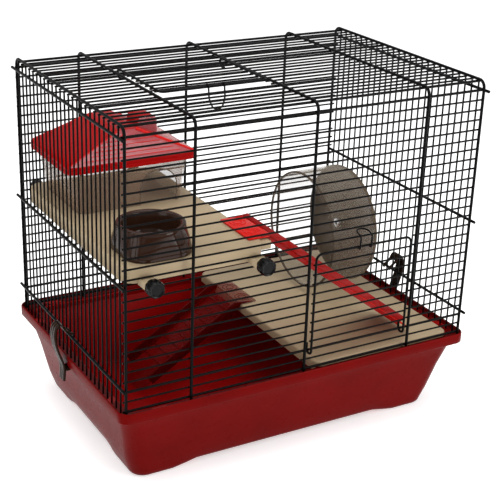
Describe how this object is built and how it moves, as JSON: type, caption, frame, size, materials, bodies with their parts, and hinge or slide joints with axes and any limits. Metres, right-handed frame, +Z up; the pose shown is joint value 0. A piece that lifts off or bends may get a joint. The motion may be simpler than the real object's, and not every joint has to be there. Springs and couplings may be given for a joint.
{
  "type": "hamster cage",
  "caption": "Wire hamster cage with front and top doors on a deep plastic tray, with shelves, ladders, a house, a bowl and a running wheel inside.",
  "frame": {"origin": "on the floor under the middle of the cage", "axes": "+Z up; the front with its door faces -Y; the upper shelf and the house are on the -X side and the wheel on the +X side"},
  "size_m": [0.4544, 0.32, 0.3929],
  "materials": {
    "tray": "glossy dark red moulded plastic",
    "wire": "satin black enamelled steel wire",
    "clip": "glossy brown moulded plastic, grooved",
    "shelf": "beige moulded plastic, soft gloss",
    "knob": "black moulded plastic",
    "ladder": "translucent bright red plastic",
    "house_clear": "clear plastic",
    "house_red": "translucent red plastic",
    "bowl": "glossy dark brown plastic",
    "wheel": "smoke-tinted clear plastic",
    "pin": "plain steel pin"
  },
  "bodies": {
    "cage": {"tray": "tray", "front_grille": "wire", "top_grille": "wire", "back_grille": "wire", "left_grille": "wire", "right_grille": "wire", "upper_shelf": "shelf", "lower_shelf": "shelf", "house_base": "house_clear", "wheel_bracket": "wheel", "wheel_axle": "pin"},
    "front_door": {"front_door": "wire"},
    "front_latch": {"front_latch": "wire"},
    "top_door": {"top_door": "wire"},
    "top_latch": {"top_latch": "wire"},
    "left_clip": {"left_clip": "clip"},
    "right_clip": {"right_clip": "clip"},
    "clamp_knob_front_left": {"clamp_knob_front_left": "knob"},
    "clamp_knob_front_right": {"clamp_knob_front_right": "knob"},
    "clamp_knob_back_left": {"clamp_knob_back_left": "knob"},
    "clamp_knob_back_right": {"clamp_knob_back_right": "knob"},
    "upper_ladder": {"upper_ladder": "ladder"},
    "lower_ladder": {"lower_ladder": "ladder"},
    "wheel": {"wheel_drum": "wheel"},
    "house_roof": {"house_roof": "house_red"},
    "feed_bowl": {"feed_bowl": "bowl"}
  },
  "joints": [
    {"name": "front_door_hinge", "type": "hinge", "parent": "cage", "child": "front_door", "pos_m": [0, -0.1378, 0.1178], "axis": [1, 0, 0], "range_deg": [0, 130]},
    {"name": "front_latch_pivot", "type": "hinge", "parent": "front_door", "child": "front_latch", "pos_m": [0.0654, -0.1423, 0.2273], "axis": [1, 0, 0], "range_deg": [0, 40]},
    {"name": "top_door_hinge", "type": "hinge", "parent": "cage", "child": "top_door", "pos_m": [0, 0.0432, 0.3847], "axis": [-1, 0, 0], "range_deg": [0, 135]},
    {"name": "top_latch_pivot", "type": "hinge", "parent": "top_door", "child": "top_latch", "pos_m": [-0.067, -0.054, 0.3892], "axis": [1, 0, 0], "range_deg": [0, 50]},
    {"name": "left_clip_pivot", "type": "hinge", "parent": "cage", "child": "left_clip", "pos_m": [-0.2085, 0, 0.121], "axis": [0, 1, 0], "range_deg": [0, 30]},
    {"name": "right_clip_pivot", "type": "hinge", "parent": "cage", "child": "right_clip", "pos_m": [0.2085, 0, 0.121], "axis": [0, -1, 0], "range_deg": [0, 30]},
    {"name": "clamp_knob_front_left_turn", "type": "hinge", "parent": "cage", "child": "clamp_knob_front_left", "pos_m": [-0.181, -0.16, 0.2312], "axis": [0, -1, 0], "continuous": true},
    {"name": "clamp_knob_front_right_turn", "type": "hinge", "parent": "cage", "child": "clamp_knob_front_right", "pos_m": [-0.06, -0.16, 0.2312], "axis": [0, -1, 0], "continuous": true},
    {"name": "clamp_knob_back_left_turn", "type": "hinge", "parent": "cage", "child": "clamp_knob_back_left", "pos_m": [-0.181, 0.16, 0.2312], "axis": [0, 1, 0], "continuous": true},
    {"name": "clamp_knob_back_right_turn", "type": "hinge", "parent": "cage", "child": "clamp_knob_back_right", "pos_m": [-0.06, 0.16, 0.2312], "axis": [0, 1, 0], "continuous": true},
    {"name": "upper_ladder_lift", "type": "hinge", "parent": "cage", "child": "upper_ladder", "pos_m": [-0.061, -0.09, 0.2463], "axis": [0, -1, 0], "range_deg": [0, 25]},
    {"name": "lower_ladder_lift", "type": "hinge", "parent": "cage", "child": "lower_ladder", "pos_m": [0.038, 0.0565, 0.0978], "axis": [0, 1, 0], "range_deg": [0, 25]},
    {"name": "wheel_spin", "type": "hinge", "parent": "cage", "child": "wheel", "pos_m": [0.167, 0.04, 0.173], "axis": [1, 0, 0], "continuous": true},
    {"name": "house_roof_lift", "type": "slide", "parent": "cage", "child": "house_roof", "axis": [0, 0, 1], "range_m": [0, 0.04]},
    {"name": "feed_bowl_lift", "type": "slide", "parent": "cage", "child": "feed_bowl", "axis": [0, 0, 1], "range_m": [0, 0.06]}
  ]
}
